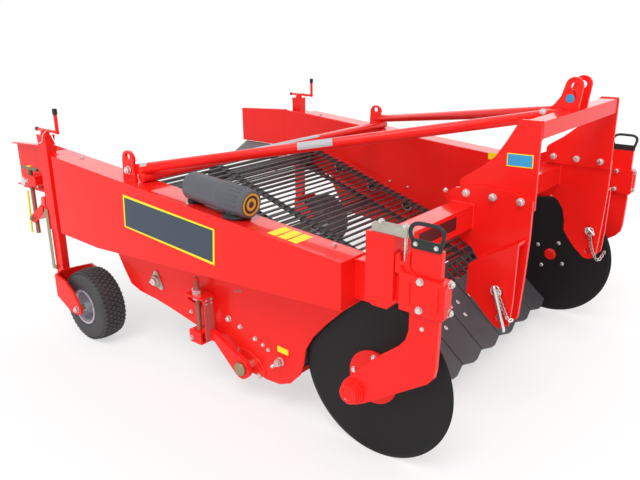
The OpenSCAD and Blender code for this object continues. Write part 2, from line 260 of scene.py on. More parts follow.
def satin_black(name, colour, rough, grain_scale=700.0, shine=0.4):
    """Dark coating with a fine grain and a slightly cloudy sheen."""
    finish = Finish(name)
    grain = finish.noise(grain_scale, 2.0, 0.7)
    cloud = finish.noise(7.0, 4.0)
    finish.set(Base_Color=finish.blend(cloud * 0.6 + grain * 0.4, tint(colour, 0.78), tint(colour, 1.3)))
    finish.set(Roughness=cloud * 0.16 + (rough - 0.08), Normal=finish.bump(grain, 0.00025, 0.5))
    finish.set(Specular_IOR_Level=shine)
    return finish


def web_finish():
    """Bare dark rods, with rubber where the three belts run."""
    finish = Finish("rod_web")
    y = finish.axes()[1]
    half = BELT_HALF / 1000
    belt = (abs(abs(y) - BELT_Y / 1000) < half) + (abs(y) < half)
    streak = finish.noise(90.0, 3.0)
    steel = finish.blend(streak, (0.085, 0.084, 0.086), (0.20, 0.20, 0.21))
    finish.set(Base_Color=finish.blend(belt, steel, (0.040, 0.039, 0.041)))
    finish.set(Metallic=0.75 - belt * 0.75, Roughness=streak * 0.18 + 0.30 + belt * 0.28)
    finish.set(Normal=finish.bump(finish.noise(500.0, 2.0), 0.0001, 0.5))
    return finish


def flap_finish():
    """Red bracket and arm, with the grey flexible flap close to the wing's plane."""
    finish = Finish("rear_flap_paint")
    _, y, z = finish.axes()
    sheet_plane = 0.8062
    sheet_top = 0.645
    sheet = (abs(y) < sheet_plane) * (z < sheet_top)
    cloud = finish.noise(5.0, 4.0)
    red = finish.blend(cloud, tint(RED, 0.93), tint(RED, 1.05))
    grey = finish.blend(cloud, (0.13, 0.135, 0.145), (0.19, 0.195, 0.205))
    finish.set(Base_Color=finish.blend(sheet, red, grey), Roughness=cloud * 0.1 + 0.26 + sheet * 0.26)
    finish.set(Normal=finish.bump(finish.noise(300.0, 2.0), 0.00015, 0.4), Coat_Weight=0.4 - sheet * 0.4)
    finish.set(Coat_Roughness=0.07, Coat_IOR=1.42, Specular_IOR_Level=0.22)
    return finish


def rubber_finish():
    """Dull rubber with a fine grain and broad paler patches."""
    finish = Finish("tyre_rubber")
    fine = finish.noise(340.0, 3.0, 0.7)
    broad = finish.noise(16.0, 4.0)
    tone = broad * 0.7 + fine * 0.3
    finish.set(Base_Color=finish.blend(tone, (0.030, 0.030, 0.033), (0.070, 0.070, 0.076)))
    finish.set(Roughness=broad * 0.15 + 0.58, Normal=finish.bump(fine, 0.0004, 0.6))
    return finish


def share_finish():
    """Dark painted blades, with worn bright edges at the tip."""
    finish = Finish("share_paint")
    z = finish.axes()[2]
    cloud = finish.noise(9.0, 4.0)
    scratch = finish.noise(160.0, 3.0, 0.7)
    tip = ((0.115 - z) * 14.0).clip() * scratch * 0.35
    paint = finish.blend(cloud, (0.056, 0.055, 0.061), (0.094, 0.093, 0.103))
    finish.set(Base_Color=finish.blend(tip, paint, (0.20, 0.19, 0.18)), Metallic=tip * 0.6)
    finish.set(Roughness=cloud * 0.14 + 0.34, Normal=finish.bump(scratch, 0.0002, 0.35))
    return finish


def carrier_finish():
    """Red bar and brackets, with dark fingers and plate behind the share blades."""
    finish = Finish("share_carrier_paint")
    x, _, z = finish.axes()
    tip = at(BLADE_TIP[0], 0, BLADE_TIP[1])
    back = (tip.x - x) * math.cos(BLADE_SLOPE) + (z - tip.z) * math.sin(BLADE_SLOPE)
    lift = (x - tip.x) * math.sin(BLADE_SLOPE) + (z - tip.z) * math.cos(BLADE_SLOPE)
    start, end, under = 0.18, 0.43, -0.0125
    dark = (back > start) * (back < end) * (lift > under)
    cloud = finish.noise(6.0, 4.0)
    red = finish.blend(cloud, tint(RED, 0.90), tint(RED, 1.04))
    steel = finish.blend(cloud, (0.050, 0.049, 0.052), (0.095, 0.093, 0.098))
    finish.set(Base_Color=finish.blend(dark, red, steel), Roughness=cloud * 0.12 + 0.30 + dark * 0.1)
    finish.set(Normal=finish.bump(finish.noise(300.0, 2.0), 0.00015, 0.4), Specular_IOR_Level=0.22)
    return finish


def print_finish(name, colour, rough=0.35):
    """Printed film: even tone, a faint fibre and a soft sheen."""
    finish = Finish(name)
    fibre = finish.noise(900.0, 1.0)
    cloud = finish.noise(11.0, 3.0)
    finish.set(Base_Color=finish.blend(cloud, tint(colour, 0.94), tint(colour, 1.05)))
    finish.set(Roughness=fibre * 0.12 + (rough - 0.06), Normal=finish.bump(fibre, 0.00005, 0.3))
    finish.set(Specular_IOR_Level=0.25)
    return finish


PAINT = {
    "red": gloss_paint("red_gloss", RED),
    "zinc": plated("zinc_plate", ZINC),
    "olive": plated("olive_plate", OLIVE, 0.36, 0.85),
    "spindle": plated("dark_spindle", (0.17, 0.165, 0.10), 0.45, 0.15),
    "dull": plated("dull_plate", (0.46, 0.44, 0.38), 0.40, 0.75),
    # Pinkish grey film on the hanging scale and on a small patch of the wall
    "rose": print_finish("pinkish_grey_film", (0.50, 0.115, 0.11)),
    "carrier": carrier_finish(),
    "black": satin_black("black_plastic", (0.016, 0.016, 0.017), 0.46),
    "grey": satin_black("grey_moulding", (0.088, 0.091, 0.106), 0.46),
    "disc": satin_black("disc_black", (0.0085, 0.0085, 0.0095), 0.55, 130.0, 0.26),
    "dark": satin_black("gear_case", (0.045, 0.045, 0.050), 0.42),
    "silver": plated("silver_rim", (0.58, 0.59, 0.65), 0.38, 0.55),
    "web": web_finish(),
    "flap": flap_finish(),
    "rubber": rubber_finish(),
    "share": share_finish(),
    "yellow": print_finish("yellow_film", (0.95, 0.80, 0.015)),
    "slate": print_finish("slate_film", (0.046, 0.066, 0.096)),
    "blue": print_finish("blue_film", (0.045, 0.34, 0.66)),
    "maroon": print_finish("maroon_film", (0.080, 0.012, 0.014)),
    "gold": print_finish("gold_film", (0.62, 0.36, 0.03)),
    "pale": print_finish("silver_film", (0.50, 0.50, 0.52), 0.28),
}


# Mesh making, in millimetres of the side drawing
FILM = 0.6
THREAD_PITCH = 3.2
PUSHED = {
    "x": lambda a, b, c: (c, a, b),
    "y": lambda a, b, c: (a, c, b),
}


class Sheet:
    """Collects shapes into one piece."""

    def __init__(self, name, paint, body="frame", bevel=0.0, smooth=40.0):
        self.name = name
        self.paint = paint
        self.body = body
        self.bevel = bevel
        self.smooth = smooth
        self.mesh = bmesh.new()

    def ring(self, points):
        return [self.mesh.verts.new(at(*p)) for p in points]

    def circle(self, centre, side, up, radius, count):
        turns = [2 * math.pi * i / count for i in range(count)]
        return self.ring([centre + (side * math.cos(t) + up * math.sin(t)) * radius for t in turns])

    def join(self, first, second):
        count = len(first)
        for i in range(count):
            j = (i + 1) % count
            self.mesh.faces.new((first[i], first[j], second[j], second[i]))

    def prism(self, outline, low, high, along="y"):
        """A flat outline pushed from low to high along one axis."""
        order = PUSHED[along]
        first = self.ring([order(a, b, low) for a, b in outline])
        second = self.ring([order(a, b, high) for a, b in outline])
        self.join(first, second)
        self.mesh.faces.new(first)
        self.mesh.faces.new(second)
        return self

    def slab(self, x0, x1, y0, y1, z0, z1):
        return self.prism([(x0, z0), (x1, z0), (x1, z1), (x0, z1)], y0, y1)

    def lathe(self, profile, origin, axis, count=32, closed=False):
        """A profile of (distance along the axis, radius) turned about the axis."""
        axis = Vector(axis).normalized()
        side = axis.orthogonal().normalized()
        up = axis.cross(side)
        origin = Vector(origin)
        before = None
        first = None
        for along, radius in profile:
            centre = origin + axis * along
            if radius <= 0:
                now = [self.mesh.verts.new(at(*centre))]
            else:
                now = self.circle(centre, side, up, radius, count)
            if before is None:
                first = now
                if len(now) > 1 and not closed:
                    self.mesh.faces.new(now)
            elif len(before) > 1 and len(now) > 1:
                self.join(before, now)
            else:
                tip, rim = (before, now) if len(before) == 1 else (now, before)
                for i in range(count):
                    self.mesh.faces.new((tip[0], rim[i], rim[(i + 1) % count]))
            before = now
        if closed:
            self.join(before, first)
        elif len(before) > 1:
            self.mesh.faces.new(before)
        return self

    def tube(self, points, radius, count=10, closed=False):
        """A round wire along a path."""
        path = [Vector(p) for p in points]
        total = len(path)
        side = None
        rings = []
        for i, p in enumerate(path):
            back = path[i - 1] if i or closed else p
            ahead = path[(i + 1) % total] if i + 1 < total or closed else p
            way = (ahead - back).normalized()
            if side is None:
                side = way.orthogonal().normalized()
            side = (side - way * side.dot(way)).normalized()
            up = way.cross(side)
            r = radius(i) if callable(radius) else radius
            rings.append(self.circle(p, side, up, r, count))
        for first, second in zip(rings, rings[1:]):
            self.join(first, second)
        if closed:
            self.join(rings[-1], rings[0])
        else:
            self.mesh.faces.new(rings[0])
            self.mesh.faces.new(rings[-1])
        return self

    def wrap(self, low, high, radius, span, turn):
        """A thin film on a round bar, between two distances along it and two angles from its top."""
        low = Vector(low)
        axis = (Vector(high) - low).normalized()
        up = Vector(UP)
        up = (up - axis * up.dot(axis)).normalized()
        side = axis.cross(up)
        steps = 10
        angles = [math.radians(turn[0] + (turn[1] - turn[0]) * i / steps) for i in range(steps + 1)]
        spokes = [up * math.cos(t) + side * math.sin(t) for t in angles]
        rings = []
        for along in span:
            middle = low + axis * along
            outer = [middle + spoke * (radius + FILM) for spoke in spokes]
            inner = [middle + spoke * radius for spoke in reversed(spokes)]
            rings.append(self.ring(outer + inner))
        self.join(rings[0], rings[1])
        self.mesh.faces.new(rings[0])
        self.mesh.faces.new(rings[1])
        return self

    def thread(self, low, high, radius):
        """A threaded rod between two points, as a row of ridges."""
        low = Vector(low)
        axis = Vector(high) - low
        end = radius * 0.7
        groove = radius * 0.90
        profile = [(0.0, end)]
        for i in range(int(axis.length / THREAD_PITCH)):
            profile.append(((i + 0.25) * THREAD_PITCH, radius))
            profile.append(((i + 0.75) * THREAD_PITCH, groove))
        profile.append((axis.length, end))
        return self.lathe(profile, low, axis, 14)

    def finish(self):
        bmesh.ops.recalc_face_normals(self.mesh, faces=self.mesh.faces)
        data = bpy.data.meshes.new(self.name)
        self.mesh.to_mesh(data)
        self.mesh.free()
        return dress(self.name, data, self.paint, self.body, self.bevel, self.smooth)


def round_edges(piece, width, angle):
    """Rounds the edges that are sharper than an angle."""
    rounding = piece.modifiers.new("edges", "BEVEL")
    rounding.width = width / 1000
    rounding.segments = 2
    rounding.limit_method = "ANGLE"
    rounding.angle_limit = math.radians(angle)


def dress(name, data, paint, body, bevel, smooth):
    """Gives a finished mesh its object, edge rounding, material and body."""
    data.shade_smooth()
    data.set_sharp_from_angle(angle=math.radians(smooth))
    data.materials.clear()
    data.materials.append(PAINT[paint].material)
    piece = linked(name, data)
    if bevel:
        round_edges(piece, bevel, 35)
    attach(piece, body)
    return piece


def smooth_path(points, steps=6):
    """Points on a smooth curve through the given ones."""
    pts = [Vector(p) for p in points]
    out = []
    for i in range(len(pts) - 1):
        a = pts[max(i - 1, 0)]
        b = pts[i]
        c = pts[i + 1]
        d = pts[min(i + 2, len(pts) - 1)]
        for s in range(steps):
            t = s / steps
            out.append(0.5 * (2 * b + (c - a) * t + (2 * a - 5 * b + 4 * c - d) * t * t
                              + (3 * b - a - 3 * c + d) * t ** 3))
    out.append(pts[-1])
    return out


# Geometry Nodes
class Tree:
    """A Geometry Nodes tree with named inputs."""

    def __init__(self, name, inputs):
        self.group = bpy.data.node_groups.new(name, "GeometryNodeTree")
        face = self.group.interface
        face.new_socket("Geometry", in_out="INPUT", socket_type="NodeSocketGeometry")
        for key, value in inputs.items():
            kind = "NodeSocketInt" if isinstance(value, int) else "NodeSocketFloat"
            face.new_socket(key, in_out="INPUT", socket_type=kind).default_value = value
        face.new_socket("Geometry", in_out="OUTPUT", socket_type="NodeSocketGeometry")
        self.source = self.group.nodes.new("NodeGroupInput")
        self.end = self.group.nodes.new("NodeGroupOutput")

    def given(self, key):
        return self.source.outputs[key]

    def make(self, kind, settings=None, sockets=None, output=0):
        node = self.group.nodes.new(kind)
        for key, value in (settings or {}).items():
            setattr(node, key, value)
        for key, value in (sockets or {}).items():
            for one in value if isinstance(value, list) else [value]:
                if isinstance(one, bpy.types.NodeSocket):
                    self.group.links.new(one, node.inputs[key])
                else:
                    node.inputs[key].default_value = one
        return node.outputs[output]

    def math(self, operation, first, second):
        return self.make("ShaderNodeMath", {"operation": operation}, {0: first, 1: second})

    def vector(self, x=0.0, y=0.0, z=0.0):
        return self.make("ShaderNodeCombineXYZ", None, {0: x, 1: y, 2: z})

    def cylinder(self, sides, radius, depth):
        sockets = {"Vertices": sides, "Radius": radius, "Depth": depth}
        return self.make("GeometryNodeMeshCylinder", None, sockets)

    def cone(self, sides, top, bottom, depth):
        sockets = {"Vertices": sides, "Radius Top": top, "Radius Bottom": bottom, "Depth": depth}
        return self.make("GeometryNodeMeshCone", None, sockets)

    def moved(self, geometry, shift=None, turn=None, scale=None):
        sockets = {"Geometry": geometry}
        for key, value in (("Translation", shift), ("Rotation", turn), ("Scale", scale)):
            if value is not None:
                sockets[key] = value
        return self.make("GeometryNodeTransform", None, sockets)

    def joined(self, parts):
        return self.make("GeometryNodeJoinGeometry", None, {0: list(reversed(parts))})

    def on_points(self, shape):
        """The shape at each given point, turned to its facing and grown to its size."""
        named = "GeometryNodeInputNamedAttribute"
        facing = self.make(named, {"data_type": "FLOAT_VECTOR"}, {"Name": "facing"})
        size = self.make(named, {"data_type": "FLOAT"}, {"Name": "size"})
        turn = self.make("FunctionNodeAlignRotationToVector", {"axis": "Z"}, {"Vector": facing})
        sockets = {"Points": self.given("Geometry"), "Instance": shape, "Rotation": turn, "Scale": size}
        return self.make("GeometryNodeInstanceOnPoints", None, sockets)

    def close(self, geometry, paint):
        real = self.make("GeometryNodeRealizeInstances", None, {0: geometry})
        sockets = {"Geometry": real, "Material": PAINT[paint].material}
        done = self.make("GeometryNodeSetMaterial", None, sockets)
        self.group.links.new(done, self.end.inputs[0])
        return self


def run_tree(name, tree, seed):
    """The plain mesh that a tree makes from a seed mesh."""
    holder = linked(name + "_points", seed)
    modifier = holder.modifiers.new("grow", "NODES")
    modifier.node_group = tree.group
    graph = bpy.context.evaluated_depsgraph_get()
    data = bpy.data.meshes.new_from_object(holder.evaluated_get(graph))
    data.name = name
    holder.modifiers.remove(modifier)
    bpy.data.objects.remove(holder)
    return data


def grow(name, tree, spots, paint, body="frame", smooth=30.0):
    """Makes a piece from a tree and points that have a facing and a size."""
    seed = bpy.data.meshes.new(name + "_points")
    seed.from_pydata([at(*p) for p, _, _ in spots], [], [])
    seed.attributes.new("facing", "FLOAT_VECTOR", "POINT")
    seed.attributes.new("size", "FLOAT", "POINT")
    for i, (_, way, grown) in enumerate(spots):
        seed.attributes["facing"].data[i].vector = way
        seed.attributes["size"].data[i].value = grown / 1000
    dress(name, run_tree(name, tree, seed), paint, body, 0.0, smooth)


def bolt_tree(paint):
    """Hexagon head on a washer, with a stud end that may stand out of it."""
    tree = Tree("bolt_" + paint, {"Head height": 0.66, "Washer radius": 1.14, "Stud length": 0.35})
    height = tree.given("Head height")
    length = tree.given("Stud length")
    thick = 0.16
    washer = tree.moved(tree.cylinder(20, tree.given("Washer radius"), thick), (0, 0, thick / 2))
    middle = tree.math("ADD", tree.math("MULTIPLY", height, 0.5), thick)
    head = tree.moved(tree.cylinder(6, 1.0, height), tree.vector(z=middle))
    top = tree.moved(tree.cone(12, 0.70, 0.90, 0.12), tree.vector(z=tree.math("ADD", height, thick)))
    lift = tree.math("ADD", tree.math("ADD", height, 0.2), tree.math("MULTIPLY", length, 0.5))
    stud = tree.moved(tree.cylinder(12, 0.52, length), tree.vector(z=lift))
    return tree.close(tree.on_points(tree.joined([washer, head, top, stud])), paint)


def dome_tree(paint):
    """Low round head of a carriage bolt."""
    tree = Tree("dome_" + paint, {"Height": 0.42})
    ball = tree.make("GeometryNodeMeshUVSphere", None, {"Segments": 16, "Rings": 8, "Radius": 1.0})
    flat = tree.moved(ball, scale=tree.vector(1.0, 1.0, tree.given("Height")))
    return tree.close(tree.on_points(flat), paint)


def clip_tree(paint):
    """Moulded clip that holds a rod on a belt, as a short rounded saddle."""
    tree = Tree("rod_clip", {"Length": 1.0, "Reach": 0.42})
    bar = tree.moved(tree.cylinder(10, 0.22, tree.given("Length")), turn=(math.pi / 2, 0, 0))
    foot = tree.moved(tree.cone(8, 0.16, 0.24, tree.given("Reach")), (0, 0, 0.16))
    return tree.close(tree.on_points(tree.joined([bar, foot])), paint)


TREAD_ROWS = 6
TREAD_BLOCKS = 46
TREAD_SLANT = math.radians(12)
TREAD_DROP = 0.0096


def tread_tree(paint):
    """Rows of slanting blocks round a tyre."""
    tree = Tree("tyre_tread", {"Radius": 0.1675, "Blocks": TREAD_BLOCKS, "Width": 0.108})
    radius = tree.given("Radius")
    rows = []
    for row in range(TREAD_ROWS):
        odd = row % 2
        share = (row + 0.5) / TREAD_ROWS - 0.5
        drop = TREAD_DROP * (2 * abs(share)) ** 2.2
        scale = tree.math("DIVIDE", tree.math("SUBTRACT", radius, drop), radius)
        side = tree.math("MULTIPLY", tree.given("Width"), share)
        turn = (math.pi / 2, math.pi / TREAD_BLOCKS * odd, 0)
        sockets = {"Vertices": tree.given("Blocks"), "Radius": radius}
        ring = tree.make("GeometryNodeMeshCircle", None, sockets)
        ring = tree.moved(ring, tree.vector(y=side), turn, tree.vector(scale, scale, scale))
        way = tree.make("GeometryNodeInputPosition")
        flat = tree.make("ShaderNodeVectorMath", {"operation": "MULTIPLY"}, {0: way, 1: (1.0, 0.0, 1.0)})
        aligned = tree.make("FunctionNodeAlignRotationToVector", {"axis": "Z"}, {"Vector": flat})
        block = tree.moved(tree.cone(4, 0.0092, 0.0106, 0.0062), (0, 0, -0.0032), (0, 0, math.pi / 4))
        slant = TREAD_SLANT if odd else -TREAD_SLANT
        block = tree.moved(block, turn=(0, 0, slant), scale=(1.30, 1.10, 1.0))
        sockets = {"Points": ring, "Instance": block, "Rotation": aligned}
        rows.append(tree.make("GeometryNodeInstanceOnPoints", None, sockets))
    return tree.close(tree.joined(rows), paint)


def link_tree(paint):
    """Oval wire link of a chain."""
    tree = Tree("chain_link", {"Wire": 0.16, "Stretch": 1.5})
    circle = "GeometryNodeCurvePrimitiveCircle"
    oval = tree.make(circle, {"mode": "RADIUS"}, {"Resolution": 14, "Radius": 0.5})
    oval = tree.moved(oval, turn=(math.pi / 2, 0, 0), scale=tree.vector(0.62, 1.0, tree.given("Stretch")))
    wire = tree.make(circle, {"mode": "RADIUS"}, {"Resolution": 6, "Radius": tree.given("Wire")})
    mesh = tree.make("GeometryNodeCurveToMesh", None, {"Curve": oval, "Profile Curve": wire})
    return tree.close(tree.on_points(mesh), paint)


def rib_tree(paint):
    """Small moulded rib, round along its length."""
    tree = Tree("cap_rib", {"Length": 1.0, "Thickness": 0.030})
    rib = tree.cylinder(8, tree.given("Thickness"), tree.given("Length"))
    return tree.close(tree.on_points(rib), paint)


BOLTS = {}
DOMES = {}


def bolt(p, way, size, body="frame", paint="zinc"):
    BOLTS.setdefault((body, paint), []).append((p, way, size))


def dome(p, way, size, body="frame"):
    DOMES.setdefault(body, []).append((p, way, size))


def out(k):
    """The way out of the machine on the left (1) or the right (-1)."""
    return (0.0, float(k), 0.0)


def sided(k, points):
    """Points of the left side, or their mirror images."""
    return [(x, k * y, z) for x, y, z in points]


def frame_bolts(k):
    """Bolts on the side beams, walls, headstock and lugs."""
    for x in (3, 101, 198):
        bolt((x, k * 409, 880), out(k), 12.5)
        bolt((x, k * 382, 880), out(-k), 12.5)
    bolt((-76, k * 409, 878), out(k), 7)
    bolt((-1258, k * 878, 871), out(k), 15)
    for x, y in ((-1656, 839), (-243, 824)):
        bolt((x, k * y, beam_top(x)), UP, 8)
    for x, z, size in ((-1023, 285, 8), (-795, 319, 12), (-731, 303, 9), (-650, 276, 9), (-610, 262, 7),
                       (-582, 250, 7), (-631, 124, 12), (-744, 195, 10), (-1497, 472, 9)):
        bolt((x, k * WALL_OUT, z), out(k), size)
    for x in (-2240, -2130, -2010):
        bolt((x, k * 814, 651), UP, 7)
    for x in (-1990, -1950):
        for z in (690, 830):
            bolt((x, k * WALL_OUT, z), out(k), 7)
    bolt((120, k * 92, 1129), (0.0, 0.7 * k, 0.7), 10)
    for x, z in ((-1097, 529), (-975, 512)):
        bolt((x, k * 794, z), out(-k), 6)


def beam_label():
    """Blank panel with a bright border on the right beam's outer face."""
    corners = [(-1251, 779), (-712, 737), (-722, 597), (-1260, 641)]
    centre = (sum(c[0] for c in corners) / 4, sum(c[1] for c in corners) / 4)
    inner = [(centre[0] + (x - centre[0]) * 0.968, centre[1] + (z - centre[1]) * 0.88) for x, z in corners]
    back = Sheet("label_border", "yellow")
    back.prism(corners, -BEAM_OUT, -BEAM_OUT - 0.7).finish()
    panel = Sheet("label_panel", "slate")
    panel.prism(inner, -BEAM_OUT - 0.7, -BEAM_OUT - 1.2).finish()


def chain_case_bolts():
    """Bolts round the cover of the chain case on the left beam."""
    a = Vector((DRIVE[0], 0, DRIVE[1]))
    b = Vector((REAR[0], 0, REAR[1]))
    way = (b - a).normalized()
    aside = Vector((-way.z, 0, way.x))
    for i in range(8):
        for edge in (-41, 41):
            p = a + (b - a) * i / 7 + aside * edge
            bolt((p.x, CASE_OUT, p.z), out(1), 6)
    for end, sense in ((a, -1), (b, 1)):
        p = end + way * 41 * sense
        bolt((p.x, CASE_OUT, p.z), out(1), 6)


def top_stickers():
    """Blank yellow films on the right beam's top, and the small films elsewhere."""
    films = Sheet("yellow_films", "yellow")
    for x0, x1 in ((-470, -432), (-424, -386), (-378, -340)):
        top = [(x0, beam_top(x0)), (x1, beam_top(x1)), (x1, beam_top(x1) + 0.7), (x0, beam_top(x0) + 0.7)]
        films.prism(top, -903, -818)
    films.prism([(-535, 260), (-481, 258), (-481, 281), (-535, 284)], -WALL_OUT - 0.8, -WALL_OUT)
    films.prism([(-490, 738), (-448, 736), (-448, 772), (-490, 774)], 793.2, 794).finish()
    pinkish_film = Sheet("wall_film", "rose")
    pinkish_film.prism([(-760, 440), (-716, 452), (-712, 464), (-756, 452)], -WALL_OUT - 0.8, -WALL_OUT).finish()
    card = Sheet("head_film_border", "yellow")
    card.prism([(133, 989), (222, 991), (221, 1034), (132, 1032)], -394.6, -394).finish()
    card = Sheet("head_film", "blue")
    card.prism([(136, 992), (219, 994), (218, 1031), (135, 1029)], -395.0, -394.6).finish()
    spot = Sheet("ear_film", "blue")
    spot.lathe([(0, 15), (0.7, 15), (0.9, 14), (0.9, 0)], (196, -50, 1177), (0, -1, 0)).finish()
    plate = Sheet("beam_film", "maroon")
    plate.prism([(-762, 784), (-528, 784), (-528, 828), (-762, 828)], 33, 33.8, "x").finish()


def document_tube():
    """Moulded tube for papers on the right beam: body, collar, tapered ribbed cap and feet."""
    tail = Vector((-896, -861, 861.2))
    nose = Vector((-579, -861, 836.7))
    axis = (nose - tail).normalized()
    tube = Sheet("paper_tube", "grey", smooth=32.0)
    tube.lathe([(0, 0), (0, 38), (2, 45), (7, 50.5), (13, 53), (172, 53), (178, 54.2), (184, 56.4),
                (200, 56.8), (207, 55.6), (212, 54), (290, 52), (306, 51.2), (313, 49.5), (316, 46),
                (316, 43.6), (314.5, 43), (314.5, 0)], tail, axis, 64)
    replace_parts(tube.finish(), "document_tube")
    ring = Sheet("tube_cap_film", "gold")
    for inner, outer in ((33, 41), (12, 23)):
        band = [(314.5, inner), (315.2, inner), (315.2, outer), (314.5, outer)]
        ring.lathe(band, tail, axis, 48, closed=True)
    ring.finish()
    face = Sheet("tube_cap_face", "maroon")
    face.lathe([(314.4, 42), (314.9, 42), (314.9, 0)], tail, axis, 48).finish()
    feet = Sheet("tube_feet", "black", smooth=32.0)
    top = beam_top(-655)
    feet.lathe([(0, 50), (4, 52), (12, 50), (18, 40), (30, 36), (30, 0)], (-655, -863, top), UP, 40)
    top = beam_top(-870)
    feet.slab(-884, -856, -893, -829, top, top + 14)
    feet.prism([(-890, top + 10), (-832, top + 10), (-842, 818), (-880, 818)], -880, -860, "x").finish()
    bolt((-882, -897, top), UP, 7)
    ribs = []
    rib_count = 18
    side = axis.orthogonal().normalized()
    up = axis.cross(side)
    for i in range(rib_count):
        t = 2 * math.pi * i / rib_count
        p = tail + axis * 252 + (side * math.cos(t) + up * math.sin(t)) * 52.6
        ribs.append((p, axis, 66))
    grow("tube_cap_ribs", rib_tree("grey"), ribs, "grey")


def disc_carrier(side, k):
    """Height screw, clamp horns, handle and spindle cap of a disc carrier, and its disc's bolts."""
    bar = Sheet(f"carrier_bar_{side}", "dull", bevel=1.5)
    bar.slab(-40, 82, k * 872, k * 910, 862, 886).finish()
    rod = Sheet(f"carrier_screw_{side}", "zinc")
    rod.thread((66, k * 891, 776), (66, k * 891, 863), 6.2).finish()
    bolt((-18, k * 891, 886), UP, 10.5)
    bolt((66, k * 891, 886), UP, 10.5)
    horns = Sheet(f"clamp_horns_{side}", "red", bevel=1.2)
    horn = [(44, 752), (44, 800), (47, 811), (54, 812), (58, 803), (60, 788), (72, 780), (76, 796),
            (83, 822), (90, 826), (94, 822), (92, 792), (96, 772), (112, 760), (122, 752)]
    for y0, y1 in ((869, 879), (897, 910)):
        horns.prism(horn, k * y0, k * y1)
    horns.lathe([(0, 9), (0, 15), (2, 16.5), (24, 16.5), (27, 14), (27, 9)], (66, k * 889, 758), UP, 24)
    horns.finish()
    for z in (747, 660):
        bolt((135, k * 918, z), out(k), 10)
        bolt((210, k * 882, z), AHEAD, 11)
        bolt((135, k * 868, z), out(-k), 10)
    bolt((140, k * 904, 597), out(k), 6)
    ribs = Sheet(f"clamp_ribs_{side}", "red", bevel=1.2)
    for x in (96, 188):
        ribs.slab(x, x + 7, k * 917, k * 922, 668, 738)
    ribs.slab(204, 214, k * 896, k * 917, 652, 746).finish()
    grip = Sheet(f"carrier_handle_{side}", "black", bevel=1.0)
    grip.prism([(97, 838), (188, 838), (194, 846), (194, 868), (94, 868), (94, 842)], k * 904, k * 909)
    loop = [(98, 862), (90, 884), (97, 904), (116, 913), (150, 914), (182, 912), (197, 897), (190, 862)]
    grip.tube([(p.x, k * 907, p.y) for p in smooth_path(loop, 5)], 6.0, 12)
    grip.finish()
    for x in (110, 176):
        bolt((x, k * 909, 853), out(k), 6.2)
    cap = Sheet(f"spindle_cap_{side}", "red", smooth=25.0)
    steps = [(0, 44), (5, 44), (7, 40), (13, 40), (14, 37), (20, 37), (22, 34), (27, 34), (29, 31), (29, 24),
             (25, 21), (25, 0)]
    cap.lathe(steps, (DISC[0], k * 904, DISC[2]), out(k), 40).finish()
    for i in range(4):
        t = math.radians((60 if k > 0 else 86) + 90 * i)
        x = DISC[0] + 76 * math.cos(t)
        z = DISC[2] + 76 * math.sin(t)
        bolt((x, k * 792, z), out(k), 9.5, f"disc_unit_{side}")
        dome((x, k * 775, z), out(-k), 10, f"disc_unit_{side}")


def blade_point(along, across, lift=10.0):
    """A point on a share blade: distance back from its edge, across the machine, above its underside."""
    x = BLADE_TIP[0] - along * math.cos(BLADE_SLOPE) + lift * math.sin(BLADE_SLOPE)
    z = BLADE_TIP[1] + along * math.sin(BLADE_SLOPE) + lift * math.cos(BLADE_SLOPE)
    return (x, across, z)


def blade_bolts():
    """Three round heads on each share blade."""
    way = (math.sin(BLADE_SLOPE), 0.0, math.cos(BLADE_SLOPE))
    for i in range(BLADE_COUNT):
        y = (i - (BLADE_COUNT - 1) / 2) * BLADE_PITCH
        for along, across in ((182, -19), (245, -2), (245, -65)):
            dome(blade_point(along, y + across), way, 11)


LINK = 15.0


def chain(points):
    """Links along a path, each turned a quarter from the last."""
    path = smooth_path(points, 8)
    lengths = [0.0]
    for a, b in zip(path, path[1:]):
        lengths.append(lengths[-1] + (b - a).length)
    spots = []
    pitch = LINK * 1.05
    count = int(lengths[-1] / pitch)
    for i in range(count):
        s = i * pitch
        j = max(n for n, length in enumerate(lengths) if length <= s)
        j = min(j, len(path) - 2)
        part = (s - lengths[j]) / max(lengths[j + 1] - lengths[j], 1e-6)
        way = (path[j + 1] - path[j]).normalized()
        spots.append((path[j] + (path[j + 1] - path[j]) * part, way, LINK))
    return spots


def hitch_pins(side, k, links):
    """Stored hitch pin, its ring clip and the retaining chain, on the face that the photograph shows."""
    pin = Sheet(f"hitch_pin_{side}", "zinc", bevel=0.8)
    pin.lathe([(0, 8), (3, 12), (100, 12), (104, 13.2), (112, 13.2), (114, 11), (114, 0)],
              (180, k * 378, 583), out(k), 24)
    face = k * (492 if k < 0 else 372)
    middle = (174, 590) if k < 0 else (192, 580)
    ring = [(middle[0] + 17 * math.cos(t), face + k * 3 * math.sin(2 * t), middle[1] + 17 * math.sin(t))
            for t in (2 * math.pi * i / 24 for i in range(24))]
    pin.tube(ring, 2.4, 8, closed=True)
    if k < 0:
        pin.lathe([(0, 0), (0, 4), (4, 6.5), (150, 6.5), (158, 6), (162, 3), (162, 0)],
                  (167, face + k * 6, 607), (51, 0, -157), 16)
        links += chain([(186, face, 575), (200, face, 545), (216, face, 512), (232, face, 498),
                        (240, k * 476, 508)])
    else:
        grip = [(0, 0), (0, 4), (4, 6), (34, 6), (40, 4), (40, 0)]
        pin.lathe(grip, (184, face - 4, 594), (40, 0, -30), 16)
        links += chain([(198, face, 566), (206, face, 520), (226, face, 476), (243, face, 463),
                        (256, 384, 488), (262, 390, 512)])
    pin.finish()


